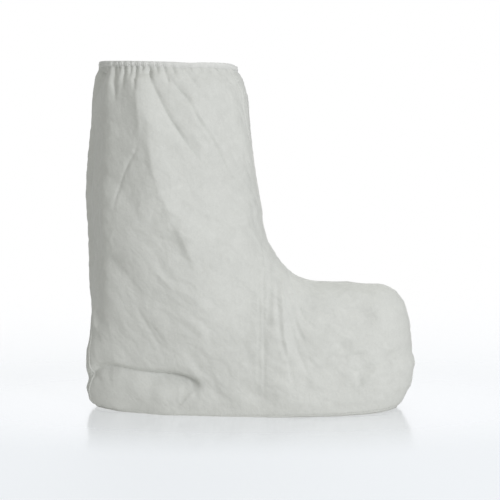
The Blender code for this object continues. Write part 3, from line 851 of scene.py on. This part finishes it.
# %% [markdown]
# The seams and the hem
# A seam is a narrow roll of sheet that stands a little out of the panels. Each is a strip laid on the creased
# sheet, with a rounded back. The hem is the collar's edge folded over the elastic, a channel round the top.

# %% Strips laid on the sheet
STRIP_ROWS, RING_COLUMNS = 420, 640
SEAM_FOOT, SEAM_HEAD = PLACES[1] * 0.6, HEM_FROM + 0.002
ROLL = np.array([-0.6, -0.5, -0.38, -0.18, 0.0, 0.18, 0.38, 0.5, 0.6])
ROLL_LIFT = np.array([-0.0004, 0.0006, 0.0010, 0.0005, 0.0004, 0.0005, 0.0010, 0.0006, -0.0004])


def make_long_seam(name, drift, middle_turn):
    rise = np.linspace(SEAM_FOOT, SEAM_HEAD, STRIP_ROWS)
    turn = np.stack([seam_turns(drift, middle_turn, rise, share) for share in ROLL], axis=1)
    points = sheet(rise[:, None], turn, ROLL_LIFT)
    return mesh_object(name, points, grid_faces(*turn.shape, flip=middle_turn == 0.0))


front_seam = make_long_seam("front_seam_roll", FRONT_SEAM_DRIFT, math.pi)
back_seam = make_long_seam("back_seam_roll", BACK_SEAM_DRIFT, 0.0)
print("seams:", len(front_seam.data.polygons), len(back_seam.data.polygons), "faces")


# %% Sole seam and hem
def ring_turns(count):
    return np.arange(count) * (2 * math.pi / count)


SOLE_SEAM_MIDDLE, SOLE_SEAM_BREADTH, SOLE_SEAM_LIFT = 0.35, 0.5, 0.4


def make_sole_seam():
    rise = PLACES[1] * (SOLE_SEAM_MIDDLE + SOLE_SEAM_BREADTH * ROLL)
    lift = SOLE_SEAM_LIFT * ROLL_LIFT[:, None]
    points = sheet(np.clip(rise, 0, 1)[:, None], ring_turns(RING_COLUMNS)[None], lift)
    return mesh_object("sole_seam_roll", points, grid_faces(len(ROLL), RING_COLUMNS, closed=True))


HEM_INSIDE = 0.0011
Fold = namedtuple("Fold", "rise out above")


def make_hem():
    """The folds of the hem, from its outer edge over the rim to its inner edge."""
    inside = -SHEET - HEM_INSIDE
    folds = (
        Fold(HEM_FROM, 0.0001, 0.0),
        Fold(HEM_FROM + 0.001, 0.0009, 0.0),
        Fold(1.0, 0.0010, -0.0004),
        Fold(1.0, 0.0007, 0.0006),
        Fold(1.0, -0.0004, 0.0011),
        Fold(1.0, inside + 0.0004, 0.0006),
        Fold(1.0, inside, -0.0004),
        Fold(HEM_FROM + 0.001, inside, 0.0),
        Fold(HEM_FROM, -SHEET - 0.0001, 0.0),
    )
    turn = ring_turns(RING_COLUMNS)
    loops = [sheet(fold.rise, turn, fold.out) + (0, 0, fold.above) for fold in folds]
    return mesh_object("collar_hem_roll", loops, grid_faces(len(folds), RING_COLUMNS, closed=True))


sole_seam, hem = make_sole_seam(), make_hem()
print("sole seam and hem:", len(sole_seam.data.polygons), len(hem.data.polygons), "faces")

# %% [markdown]
# The finish of the sheet
# Spunbonded sheet is pale grey paper to the eye: matt, with pressed fibres that show as a faint mottle and
# fine upright streaks. A bump adds what is too small for the grid of the panels: fibres, and the small roofs
# of crumpled paper. The shader is written as arithmetic on sockets, which keeps the formula readable.


# %% Shader arithmetic
class Value:
    """A shader socket that takes part in Python arithmetic."""

    def __init__(self, tree, socket):
        self.tree, self.socket = tree, socket

    def node(self, kind, settings, sockets, out=0):
        """Any node: its type, its settings, then the values or links of its sockets."""
        made = self.tree.nodes.new(kind)
        for name, value in settings.items():
            setattr(made, name, value)
        for name, value in sockets.items():
            if isinstance(value, Value):
                self.tree.links.new(value.socket, made.inputs[name])
            else:
                made.inputs[name].default_value = value
        return Value(self.tree, made.outputs[out])

    def math(self, operation, first, second):
        return self.node("ShaderNodeMath", {"operation": operation}, {0: first, 1: second})

    def __add__(self, other):
        return self.math("ADD", self, other)

    def __radd__(self, other):
        return self.math("ADD", other, self)

    def __sub__(self, other):
        return self.math("SUBTRACT", self, other)

    def __rsub__(self, other):
        return self.math("SUBTRACT", other, self)

    def __mul__(self, other):
        return self.math("MULTIPLY", self, other)

    def __rmul__(self, other):
        return self.math("MULTIPLY", other, self)

    def noise(self, scale, detail, stretch=(1.0, 1.0, 1.0), twist=0.0):
        """Noise centred on zero, read at this vector."""
        place = self.node("ShaderNodeMapping", {}, {"Vector": self, "Scale": stretch})
        sockets = {"Vector": place, "Scale": scale, "Detail": detail, "Distortion": twist}
        return self.node("ShaderNodeTexNoise", {}, sockets, out="Fac") - 0.5

    def crumpled(self, size, lean):
        """Small roofs of crumpled paper, about this size across and longer along the lean."""
        drift = self.node("ShaderNodeTexNoise", {}, {"Vector": self, "Scale": 0.4 / size}, out="Color")
        sockets = {0: drift, 1: (size, size, size), 2: self}
        bent = self.node("ShaderNodeVectorMath", {"operation": "MULTIPLY_ADD"}, sockets)
        sockets = {"Vector": bent, "Rotation": (0.0, lean, 0.0), "Scale": (2.2 * size, size, size)}
        cells = self.node("ShaderNodeMapping", {"vector_type": "TEXTURE"}, sockets)
        sockets = {"Vector": cells, "Scale": 1.0}
        return self.node("ShaderNodeTexVoronoi", {"feature": "DISTANCE_TO_EDGE"}, sockets, out="Distance")

    def mix(self, first, second):
        """A blend of two colours by this value."""
        sockets = {0: self, 6: first, 7: second}
        return self.node("ShaderNodeMix", {"data_type": "RGBA"}, sockets, out=2)


def new_material(name):
    made = bpy.data.materials.new(name)
    made.use_nodes = True
    tree = made.node_tree
    shader = tree.nodes["Principled BSDF"]
    place = tree.nodes.new("ShaderNodeTexCoord").outputs["Object"]
    return made, shader, Value(tree, place)


def link(value, socket):
    value.tree.links.new(value.socket, socket)


print("shader arithmetic ready")


# %% The nonwoven sheet
SPECULAR, ROUGHNESS, BUMP_HEIGHT = 0.25, 0.60, 0.0010


def nonwoven(name, dark, light, bump):
    made, shader, place = new_material(name)
    shader.inputs["Specular IOR Level"].default_value = SPECULAR
    cloud = 0.5 * place.noise(14.0, 2.0) + 0.7 * place.noise(45.0, 2.0, twist=1.2)
    mottle = 0.7 * place.noise(110.0, 2.0, twist=1.6) + 0.8 * place.noise(260.0, 2.0, twist=2.4)
    streaks = place.noise(330.0, 2.0, (1.0, 1.0, 0.09))
    tone = 0.5 + 0.8 * mottle + 0.3 * streaks + cloud
    link(tone.mix(dark, light), shader.inputs["Base Color"])
    link(ROUGHNESS + 0.25 * mottle, shader.inputs["Roughness"])
    fibres = 0.3 * place.noise(420.0, 3.0, twist=2.0) + 0.2 * streaks + 0.8 * mottle
    fibres += 2.2 * place.crumpled(0.018, 1.05) + 1.1 * place.crumpled(0.008, 0.75)
    sockets = {"Strength": bump, "Distance": BUMP_HEIGHT, "Height": fibres}
    link(place.node("ShaderNodeBump", {}, sockets), shader.inputs["Normal"])
    return made


PALE, PRESSED = (0.752, 0.766, 0.746, 1.0), (0.628, 0.641, 0.621, 1.0)
sheet_finish = nonwoven("nonwoven_sheet", PRESSED, PALE, 0.36)
seam_finish = nonwoven("overlocked_seam", PRESSED, PALE, 0.26)
hem_finish = nonwoven("ribbed_hem", (0.690, 0.700, 0.690, 1.0), (0.820, 0.830, 0.820, 1.0), 0.26)
sole_finish = nonwoven("sole_finish", (0.56, 0.57, 0.55, 1.0), (0.66, 0.67, 0.65, 1.0), 0.4)
for piece, finish in (
    *((panel, sheet_finish) for panel in panels),
    (sole, sole_finish),
    (front_seam, seam_finish),
    (back_seam, seam_finish),
    (sole_seam, seam_finish),
    (hem, hem_finish),
):
    piece.data.materials.append(finish)
print("finishes set")

# %% [markdown]
# Ribs and stitches
# What repeats along a line is made by Geometry Nodes. The path is cut at an even pitch, a small rounded bead
# is set on every point and turned by the directions that the path carries, and every second bead can slant
# the other way. One group serves the ribs of the hem and the overlock stitches of the seams.

# %% Beads along a path
BEAD_INPUTS = {
    "Path": "NodeSocketGeometry",
    "Pitch": "NodeSocketFloat",
    "Size": "NodeSocketVector",
    "Slant": "NodeSocketFloat",
    "Unevenness": "NodeSocketFloat",
    "Seed": "NodeSocketInt",
    "Finish": "NodeSocketMaterial",
}


def new_beads_group():
    tree = bpy.data.node_groups.new("beads_on_a_path", "GeometryNodeTree")
    for name, kind in BEAD_INPUTS.items():
        tree.interface.new_socket(name=name, in_out="INPUT", socket_type=kind)
    tree.interface.new_socket(name="Beads", in_out="OUTPUT", socket_type="NodeSocketGeometry")
    entry = tree.nodes.new("NodeGroupInput")
    given = [Value(tree, entry.outputs[name]) for name in BEAD_INPUTS]
    path, pitch, size, slant, uneven, seed, finish = given
    curve = path.node("GeometryNodeMeshToCurve", {}, {"Mesh": path})
    places = path.node("GeometryNodeResampleCurve", {"mode": "LENGTH"}, {"Curve": curve, "Length": pitch})
    vectors = {"data_type": "FLOAT_VECTOR"}
    out = path.node("GeometryNodeInputNamedAttribute", vectors, {"Name": "out"})
    way = path.node("GeometryNodeInputNamedAttribute", vectors, {"Name": "way"})
    axes, facing = {"primary_axis": "Z", "secondary_axis": "X"}, {"Primary Axis": out, "Secondary Axis": way}
    turned = path.node("FunctionNodeAxesToRotation", axes, facing)
    number = path.node("GeometryNodeInputIndex", {}, {})
    lean = slant * (path.math("MODULO", number, 2.0) * 2.0 - 1.0)
    lean = path.node("FunctionNodeAxisAngleToRotation", {}, {"Axis": (0.0, 0.0, 1.0), "Angle": lean})
    sockets = {"Rotation": turned, "Rotate By": lean}
    leaning = path.node("FunctionNodeRotateRotation", {"rotation_space": "LOCAL"}, sockets)
    sockets = {2: 1.0 - uneven, 3: 1.0 + uneven, "Seed": seed}
    vary = path.node("FunctionNodeRandomValue", {"data_type": "FLOAT"}, sockets, out=1)
    ball = path.node("GeometryNodeMeshUVSphere", {}, {"Segments": 8, "Rings": 5, "Radius": 0.5})
    bead = path.node("GeometryNodeTransform", {}, {"Geometry": ball, "Scale": size})
    sockets = {"Points": places, "Instance": bead, "Rotation": leaning, "Scale": vary}
    beads = path.node("GeometryNodeInstanceOnPoints", {}, sockets)
    beads = path.node("GeometryNodeRealizeInstances", {}, {"Geometry": beads})
    beads = path.node("GeometryNodeSetShadeSmooth", {}, {"Geometry": beads})
    beads = path.node("GeometryNodeSetMaterial", {}, {"Geometry": beads, "Material": finish})
    link(beads, tree.nodes.new("NodeGroupOutput").inputs["Beads"])
    return tree


BEADS = new_beads_group()
BeadStyle = namedtuple("BeadStyle", "pitch size slant finish")
BEAD_LIFT, BEAD_UNEVENNESS, BEAD_SEED = 0.0005, 0.12, 5


def bead_row(name, rise, turn, across, closed, style):
    """Beads on the sheet along this line, each one's length lying along the directions in across."""
    points, out = sheet(rise, turn, BEAD_LIFT), outward(rise, turn)
    edges = [(k, (k + 1) % len(points)) for k in range(len(points) if closed else len(points) - 1)]
    mesh = bpy.data.meshes.new(name)
    mesh.from_pydata(points.tolist(), edges, [])
    for label, values in (("out", out), ("way", across)):
        mesh.attributes.new(label, "FLOAT_VECTOR", "POINT").data.foreach_set("vector", np.ravel(values))
    piece = bpy.data.objects.new(name, mesh)
    bpy.context.scene.collection.objects.link(piece)
    modifier = piece.modifiers.new("beads", "NODES")
    modifier.node_group = BEADS
    wanted = {"Pitch": style.pitch, "Size": style.size, "Slant": style.slant, "Finish": style.finish}
    wanted |= {"Unevenness": BEAD_UNEVENNESS, "Seed": BEAD_SEED}
    for socket in BEADS.interface.items_tree:
        if socket.name in wanted:
            modifier[socket.identifier] = wanted[socket.name]
    made = bpy.data.meshes.new_from_object(piece.evaluated_get(bpy.context.evaluated_depsgraph_get()))
    piece.modifiers.clear()
    piece.data = made
    return piece


print("bead group ready")


# %% Hem ribs and stitches
HEM_RIB = BeadStyle(0.0026, (0.0040, 0.0014, 0.0016), 0.0, hem_finish)
SEAM_STITCH = BeadStyle(0.0024, (0.0046, 0.0007, 0.0007), 0.45, seam_finish)
SOLE_STITCH = BeadStyle(0.0028, (0.0026, 0.0007, 0.0006), 0.45, seam_finish)
HEM_MIDDLE, STITCH_FOOT = (HEM_FROM + 1.0) / 2, PLACES[1] * 0.8
SMALL_TURN = 0.01


def ring_beads(name, level, style):
    turn = ring_turns(RING_COLUMNS)
    up = np.tile((0.0, 0.0, 1.0), (RING_COLUMNS, 1))
    return bead_row(name, np.full(RING_COLUMNS, level), turn, up, True, style)


def seam_beads(name, drift, middle_turn):
    rise = np.linspace(STITCH_FOOT, HEM_FROM, STRIP_ROWS)
    turn = seam_turns(drift, middle_turn, rise)
    across = wall(rise, turn + SMALL_TURN) - wall(rise, turn - SMALL_TURN)
    return bead_row(name, rise, turn, across, False, SEAM_STITCH)


hem_ribs = ring_beads("hem_ribs", HEM_MIDDLE, HEM_RIB)
stitches = [
    seam_beads("front_stitches", FRONT_SEAM_DRIFT, math.pi),
    seam_beads("back_stitches", BACK_SEAM_DRIFT, 0.0),
    ring_beads("sole_stitches", STITCH_FOOT, SOLE_STITCH),
]
print({piece.name: len(piece.data.polygons) for piece in (hem_ribs, *stitches)})

# %% [markdown]
# What each piece stands for
# The solids carry the part's weight and contacts, and the pieces made here are what is seen. So each solid
# that a piece takes the place of is hidden, and every piece rides on the root body. It could be said where
# each piece is made, but here it can be read at one glance.

# %% Tie the pieces to the frame
for panel in panels:
    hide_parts("upper")
for piece, node, slot in (
    (sole, "sole", "sole_sheet"),
    (front_seam, "front_seam", "seam"),
    (back_seam, "back_seam", "seam"),
    (sole_seam, "sole_seam", "seam"),
    (hem, "collar_hem", "hem"),
):
    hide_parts(node)
for piece in (*panels, sole, front_seam, back_seam, sole_seam, hem, hem_ribs, *stitches):
    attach(piece, "root")
print("pieces ride on the root body")

# %% [markdown]
# The studio
# The bag stands on a pale floor that thins out into a white surround, so no horizon shows from any side. A
# soft key light stands at the front right and a weak one behind. The surround looks white everywhere, but it
# lights the bag from above, from below and a little from the front only, because a bag that is lit evenly
# from all sides shows no creases.

# %% Floor
FLOOR_COLOUR, FLOOR_GLOW, MIRROR = (0.21, 0.22, 0.235, 1.0), 0.68, 0.56
FLOOR_HALF, STRIP_STRETCH = 4.0, (2.2, 1.0, 1.0)
SHINE_MIDDLE, SHINE_NEAR, SHINE_FAR = (0.0, 0.0, 0.0), 0.09, 0.28
SEEN_MIDDLE, SEEN_NEAR, SEEN_FAR = (0.0, -0.9, 0.0), 0.5, 2.0


def beyond(place, middle, near, far):
    """0 within the near distance of this middle, rising to 1 at the far one, over a long strip along X."""
    strip = {"Vector": place, "Location": middle, "Scale": STRIP_STRETCH}
    short = place.node("ShaderNodeMapping", {"vector_type": "TEXTURE"}, strip)
    distance = place.node("ShaderNodeVectorMath", {"operation": "LENGTH"}, {0: short}, "Value")
    limits = {"Value": distance, "From Min": near, "From Max": far}
    return place.node("ShaderNodeMapRange", {"interpolation_type": "SMOOTHSTEP"}, limits)


def make_floor():
    """A matt floor with a soft mirror near the bag, which thins out to nothing further off."""
    half = FLOOR_HALF
    corners = [(-half, -half, 0), (half, -half, 0), (half, half, 0), (-half, half, 0)]
    floor = mesh_object("floor", corners, [(0, 1, 2, 3)])
    floor.visible_diffuse = floor.visible_shadow = False
    made, shader, place = new_material("studio_floor")
    shader.inputs["Base Color"].default_value = FLOOR_COLOUR
    shader.inputs["Roughness"].default_value = 0.6
    shader.inputs["Specular IOR Level"].default_value = 0.2
    shader.inputs["Emission Color"].default_value = (0.95, 0.975, 1.0, 1.0)
    shader.inputs["Emission Strength"].default_value = FLOOR_GLOW
    tree = made.node_tree
    matt = Value(tree, shader.outputs["BSDF"])
    gloss = place.node("ShaderNodeBsdfGlossy", {}, {"Color": (0.97, 0.98, 1.0, 1.0), "Roughness": 0.16})
    shine = MIRROR - MIRROR * beyond(place, SHINE_MIDDLE, SHINE_NEAR, SHINE_FAR)
    polished = place.node("ShaderNodeMixShader", {}, {0: shine, 1: matt, 2: gloss})
    clear = place.node("ShaderNodeBsdfTransparent", {}, {})
    thinned = beyond(place, SEEN_MIDDLE, SEEN_NEAR, SEEN_FAR)
    blend = place.node("ShaderNodeMixShader", {}, {0: thinned, 1: polished, 2: clear})
    link(blend, tree.nodes["Material Output"].inputs["Surface"])
    floor.data.materials.append(made)


make_floor()
print("floor made")

# %% Light
SURROUND_SEEN, FROM_ABOVE, FROM_BELOW, FROM_FRONT = 1.0, 0.78, 0.84, 0.22
LIGHT_AIM = Vector((0.0, 0.0, 0.22))


def make_surround():
    world = bpy.data.worlds.new("studio")
    bpy.context.scene.world = world
    world.use_nodes = True
    tree = world.node_tree
    lighting = Value(tree, tree.nodes.new("ShaderNodeLightPath").outputs["Is Diffuse Ray"])
    way = Value(tree, tree.nodes.new("ShaderNodeTexCoord").outputs["Generated"])
    back, up = (way.node("ShaderNodeSeparateXYZ", {}, {0: way}, axis) for axis in "YZ")
    given = FROM_ABOVE * way.math("MAXIMUM", up, 0.0) + FROM_BELOW * way.math("MAXIMUM", -1.0 * up, 0.0)
    given += FROM_FRONT * way.math("MAXIMUM", -1.0 * back, 0.0)
    link(SURROUND_SEEN + lighting * (given - SURROUND_SEEN), tree.nodes["Background"].inputs["Strength"])
    link(lighting.mix((1.0, 1.0, 1.0, 1.0), (1.0, 1.0, 0.95, 1.0)), tree.nodes["Background"].inputs["Color"])


def make_area_light(name, azimuth, elevation, distance, size, power, colour, mirrored=True):
    """A square light aimed at the shaft: azimuth is counted from the camera's side to the right.

    A light that isn't mirrored leaves no bright patch on the glossy floor.
    """
    data = bpy.data.lights.new(name, "AREA")
    data.size, data.energy, data.color = size, power, colour
    lamp = bpy.data.objects.new(name, data)
    lamp.visible_glossy = mirrored
    bpy.context.scene.collection.objects.link(lamp)
    across, up = math.radians(azimuth), math.radians(elevation)
    way = Vector((math.sin(across) * math.cos(up), -math.cos(across) * math.cos(up), math.sin(up)))
    lamp.location = LIGHT_AIM + way * distance
    lamp.rotation_euler = way.to_track_quat("Z", "Y").to_euler()


make_surround()
make_area_light("key", 36.0, 12.0, 2.4, 0.6, 23.8, (1.0, 1.0, 1.02))
make_area_light("back_fill", 190.0, 40.0, 2.4, 0.8, 9.0, (1.0, 1.0, 1.0), mirrored=False)
bpy.context.scene.view_settings.view_transform = "Standard"
print("lit by", [thing.name for thing in bpy.data.objects if thing.type == "LIGHT"])

# %% [markdown]
# The camera
# The camera stands two metres off on the bag's right side, level with the hem, and looks down a little
# through a long lens. A view without perspective could be had too, but a photo always has some.

# %% Camera
CAMERA_PLACE, CAMERA_AIM = Vector((0.0, -2.0, 0.455)), Vector((0.0, 0.0, 0.2102))
LENS = 109.9
camera_data = bpy.data.cameras.new("photo_camera")
camera_data.lens = LENS
camera = bpy.data.objects.new("photo_camera", camera_data)
bpy.context.scene.collection.objects.link(camera)
camera.location = CAMERA_PLACE
camera.rotation_euler = (CAMERA_PLACE - CAMERA_AIM).to_track_quat("Z", "Y").to_euler()
bpy.context.scene.camera = camera
print("camera at", tuple(CAMERA_PLACE))
